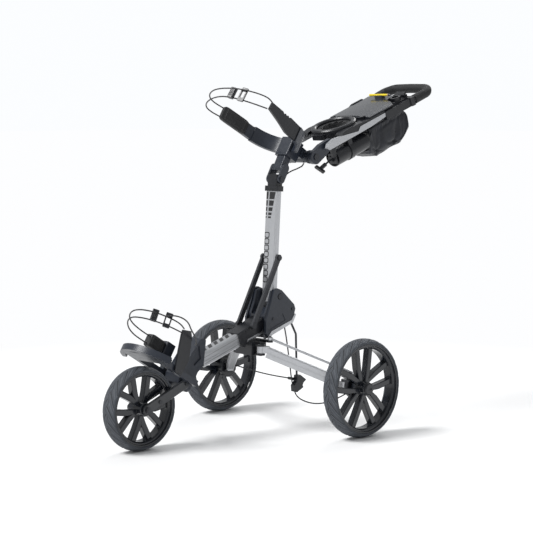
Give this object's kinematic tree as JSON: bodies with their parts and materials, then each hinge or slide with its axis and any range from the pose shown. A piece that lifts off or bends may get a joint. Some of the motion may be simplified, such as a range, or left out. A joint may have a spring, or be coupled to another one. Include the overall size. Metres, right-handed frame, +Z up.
{
  "type": "golf push trolley",
  "caption": "Folding push trolley for a golf bag, with spoked wheels, strap cradles, a storage console and a loop grip.",
  "frame": {"origin": "on the floor, under the middle of the whole length and width", "axes": "+Z up, -Y towards the front wheel, +Y towards the grip, +X towards the trolley's left"},
  "size_m": [0.677, 1.299, 1.0435],
  "materials": {
    "tyre": "matte",
    "rim": "gloss",
    "plastic": "satin moulded",
    "dark_plastic": "fine grained",
    "silver": "satin anodised",
    "steel": "bright zinc",
    "foam": "fine grained foam",
    "pad": "matte",
    "cord": "braided elastic",
    "cable": "smooth",
    "bag": "woven nylon",
    "pencil": "glossy paint"
  },
  "bodies": {
    "frame": {"lower_tube": "silver", "front_bracket": "plastic", "fork_arms": "steel", "front_axle": "steel", "bag_platform": "plastic", "side_pad": "pad", "strap_post": "dark_plastic", "lower_clasp": "dark_plastic", "lower_cords": "cord", "hub_block": "plastic", "cover_left": "plastic", "cover_right": "plastic", "frame_bolts": "steel", "hub_sole": "silver", "saddle_collar": "dark_plastic", "leg_mount": "dark_plastic", "support_wires": "steel", "brake_yoke": "dark_plastic", "brake_cables": "cable"},
    "front_wheel": {"front_tyre": "tyre", "front_rim": "rim"},
    "left_leg": {"leg_left": "silver"},
    "right_leg": {"leg_right": "silver"},
    "left_tie": {"tie_left": "steel"},
    "right_tie": {"tie_right": "steel"},
    "left_carrier": {"carrier_left": "dark_plastic"},
    "right_carrier": {"carrier_right": "dark_plastic"},
    "left_wheel": {"rear_tyre_left": "tyre", "rear_rim_left": "rim", "hub_cap_left": "dark_plastic"},
    "right_wheel": {"rear_tyre_right": "tyre", "rear_rim_right": "rim", "hub_cap_right": "dark_plastic"},
    "mast": {"mast_tube": "silver", "mast_collar": "dark_plastic", "mast_bolts": "steel"},
    "strut_pair": {"struts": "silver"},
    "neck": {"neck": "plastic", "handle_cable": "cable", "upper_bracket": "plastic", "upper_pad": "pad", "strap_arm": "dark_plastic", "upper_clasp": "dark_plastic", "upper_cords": "cord", "hinge_barrel": "plastic", "hinge_pin": "steel"},
    "handle": {"hinge_arms": "dark_plastic", "rails": "silver", "console": "plastic", "cup_gasket": "pad", "rear_yoke": "dark_plastic", "grip_tube": "silver", "grip_foam": "foam", "accessory_bag": "bag", "umbrella_tube": "dark_plastic", "tube_bracket": "dark_plastic"},
    "lid": {"bin_lid": "plastic", "pencil": "pencil"},
    "lever": {"brake_lever": "dark_plastic"},
    "screw": {"clamp_screw": "dark_plastic"}
  },
  "joints": [
    {"name": "mast_fold", "type": "hinge", "parent": "frame", "child": "mast", "pos_m": [0, -0.012, 0.401], "axis": [1, 0, 0], "range_deg": [0, 85]},
    {"name": "strut_fold", "type": "hinge", "parent": "mast", "child": "strut_pair", "pos_m": [0, -0.00472, 0.51677], "axis": [1, 0, 0], "range_deg": [-103, 0]},
    {"name": "neck_fold", "type": "hinge", "parent": "mast", "child": "neck", "pos_m": [0, 0.01409, 0.75205], "axis": [1, 0, 0], "range_deg": [-85, 0]},
    {"name": "left_leg_fold", "type": "hinge", "parent": "frame", "child": "left_leg", "pos_m": [0.05, -0.097, 0.25], "axis": [0, 0, 1], "range_deg": [-100, 0]},
    {"name": "right_leg_fold", "type": "hinge", "parent": "frame", "child": "right_leg", "pos_m": [-0.05, -0.097, 0.25], "axis": [0, 0, 1], "range_deg": [0, 100]},
    {"name": "left_tie_fold", "type": "hinge", "parent": "frame", "child": "left_tie", "pos_m": [0.062, -0.069, 0.281], "axis": [0, 0, 1], "range_deg": [-100, 0]},
    {"name": "right_tie_fold", "type": "hinge", "parent": "frame", "child": "right_tie", "pos_m": [-0.062, -0.069, 0.281], "axis": [0, 0, 1], "range_deg": [0, 100]},
    {"name": "left_carrier_swing", "type": "hinge", "parent": "left_leg", "child": "left_carrier", "pos_m": [0.25, 0.058, 0.15], "axis": [0, 0, 1], "range_deg": [0, 100]},
    {"name": "right_carrier_swing", "type": "hinge", "parent": "right_leg", "child": "right_carrier", "pos_m": [-0.25, 0.058, 0.15], "axis": [0, 0, 1], "range_deg": [-100, 0]},
    {"name": "left_wheel_spin", "type": "hinge", "parent": "left_carrier", "child": "left_wheel", "pos_m": [0.3055, 0.068, 0.146], "axis": [1, 0, 0], "continuous": true},
    {"name": "right_wheel_spin", "type": "hinge", "parent": "right_carrier", "child": "right_wheel", "pos_m": [-0.3055, 0.068, 0.146], "axis": [1, 0, 0], "continuous": true},
    {"name": "front_wheel_spin", "type": "hinge", "parent": "frame", "child": "front_wheel", "pos_m": [0, -0.526, 0.1205], "axis": [1, 0, 0], "continuous": true},
    {"name": "handle_tilt", "type": "hinge", "parent": "neck", "child": "handle", "pos_m": [0, 0.118, 0.817], "axis": [1, 0, 0], "range_deg": [-90, 20]},
    {"name": "lid_open", "type": "hinge", "parent": "handle", "child": "lid", "pos_m": [0, 0.33463, 0.93522], "axis": [1, 0, 0], "range_deg": [0, 70]},
    {"name": "brake_lever_pull", "type": "hinge", "parent": "handle", "child": "lever", "pos_m": [0, 0.52795, 1.00346], "axis": [1, 0, 0], "range_deg": [-25, 0], "stiffness_Nm_per_rad": 0.4},
    {"name": "clamp_screw_turn", "type": "hinge", "parent": "handle", "child": "screw", "pos_m": [0.044, 0.21061, 0.80814], "axis": [0, -0.8572, -0.515], "range_deg": [-180, 180]}
  ],
  "couplings": [
    {"joint": "strut_fold", "follows": "mast_fold", "ratio": -1.207},
    {"joint": "neck_fold", "follows": "mast_fold", "ratio": -1},
    {"joint": "left_leg_fold", "follows": "mast_fold", "ratio": -1.1764},
    {"joint": "right_leg_fold", "follows": "mast_fold", "ratio": 1.1764},
    {"joint": "left_tie_fold", "follows": "mast_fold", "ratio": -1.1764},
    {"joint": "right_tie_fold", "follows": "mast_fold", "ratio": 1.1764},
    {"joint": "left_carrier_swing", "follows": "mast_fold", "ratio": 1.1764},
    {"joint": "right_carrier_swing", "follows": "mast_fold", "ratio": -1.1764}
  ]
}
